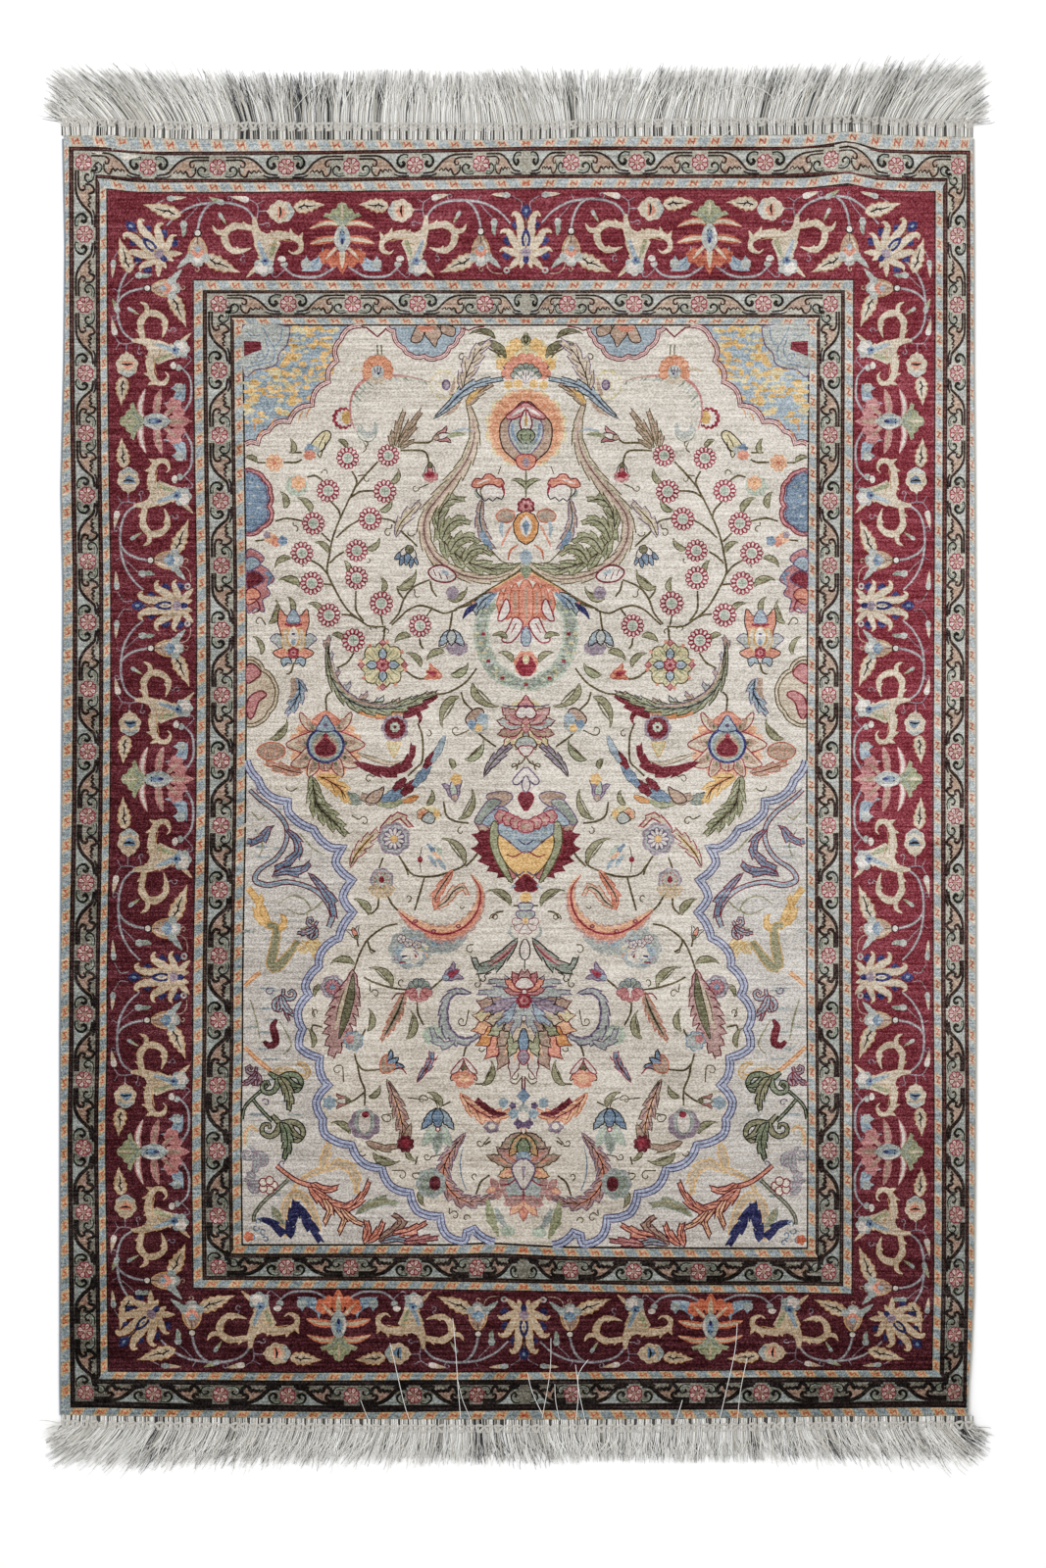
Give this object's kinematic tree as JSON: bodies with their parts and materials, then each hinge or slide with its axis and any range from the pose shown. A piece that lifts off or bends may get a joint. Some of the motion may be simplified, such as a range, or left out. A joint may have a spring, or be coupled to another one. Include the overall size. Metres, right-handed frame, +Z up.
{
  "type": "hand-knotted silk rug",
  "caption": "Hand-knotted silk rug laid flat, with a floral prayer-niche field, patterned borders, overcast sides and a knotted fringe at both ends.",
  "frame": {"origin": "on the floor under the middle of the rug's outer rectangle, fringes included", "axes": "+X across the rug, to the right in a view from above, +Y along the rug towards its upper end, +Z up, away from the floor"},
  "size_m": [0.995, 1.5, 0.0098],
  "materials": {
    "silk_pile": "short dense silk pile, many colours, soft sheen",
    "silk_overcast": "wound silk thread over the side warps",
    "warp_silk": "loose ivory silk warps, satin"
  },
  "bodies": {
    "root": {"rug": "silk_pile", "selvedge_left": "silk_overcast", "selvedge_right": "silk_overcast", "fringe_top": "warp_silk", "fringe_bottom": "warp_silk"}
  },
  "joints": []
}
